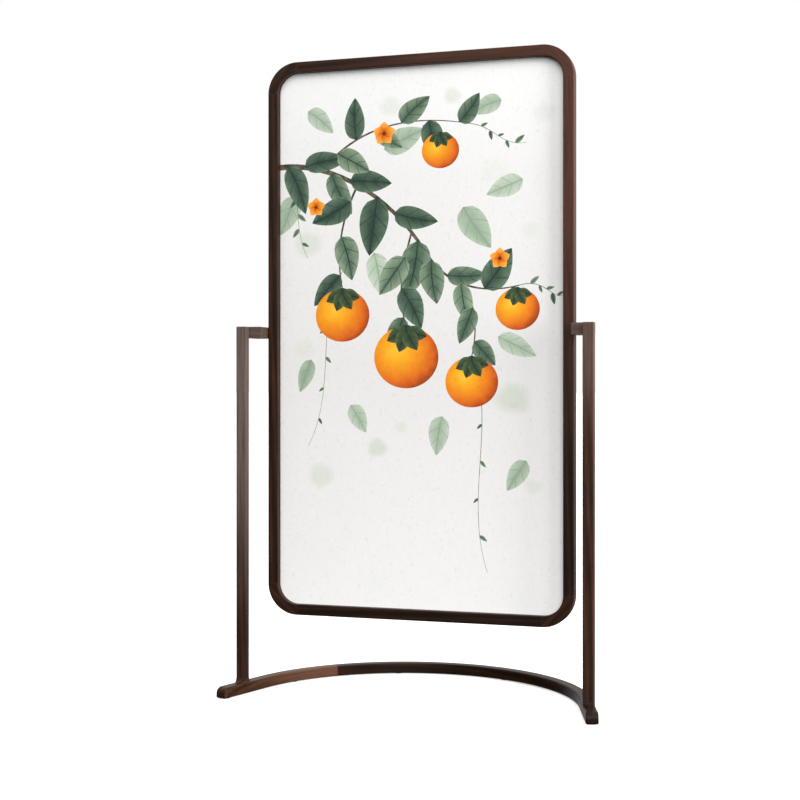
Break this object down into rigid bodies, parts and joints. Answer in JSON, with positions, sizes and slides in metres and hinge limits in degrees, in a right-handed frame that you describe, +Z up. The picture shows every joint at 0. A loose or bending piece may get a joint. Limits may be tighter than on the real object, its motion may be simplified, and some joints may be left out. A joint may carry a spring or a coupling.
{
  "type": "partition screen",
  "caption": "Free-standing partition screen: a round-cornered picture panel that tilts on side pivots between two slim posts on a bow-shaped wooden floor base.",
  "frame": {"origin": "on the floor, under the middle of the base's footprint", "axes": "+Z up, front of the screen towards -Y, +X to the right seen from the front"},
  "size_m": [1.0776, 0.5609, 1.8],
  "materials": {
    "walnut": "satin lacquer over dark stain",
    "beech": "plain",
    "board": "plain plywood",
    "picture_cloth": "fine printed cloth",
    "steel": "zinc plated",
    "brass": "turned",
    "felt": "pressed felt"
  },
  "bodies": {
    "stand": {"left_post": "walnut", "right_post": "walnut", "left_arm": "walnut", "right_arm": "walnut", "arm_dowels": "beech", "left_pivot_pin": "steel", "right_pivot_pin": "steel", "pivot_caps": "walnut", "side_washers": "brass", "left_foot": "walnut", "right_foot": "walnut", "base_bow": "walnut", "base_dowels": "beech", "base_studs": "steel", "barrel_nuts": "steel", "post_bolts": "steel", "post_washers": "steel", "post_inserts": "brass", "post_dowels": "beech", "floor_pads": "felt"},
    "panel": {"left_stile": "walnut", "right_stile": "walnut", "top_rail": "walnut", "bottom_rail": "walnut", "corner_top_left": "walnut", "corner_top_right": "walnut", "corner_bottom_left": "walnut", "corner_bottom_right": "walnut", "frame_tenons": "beech", "picture_board": "board", "front_cloth": "picture_cloth", "rear_cloth": "picture_cloth", "bead_left": "walnut", "bead_right": "walnut", "bead_top": "walnut", "bead_bottom": "walnut", "bead_corners": "walnut", "bead_pins": "steel", "pivot_bushes": "brass"}
  },
  "joints": [
    {"name": "panel_tilt", "type": "hinge", "parent": "stand", "child": "panel", "pos_m": [0, -0.10473, 1.027], "axis": [1, 0, 0], "continuous": true}
  ]
}
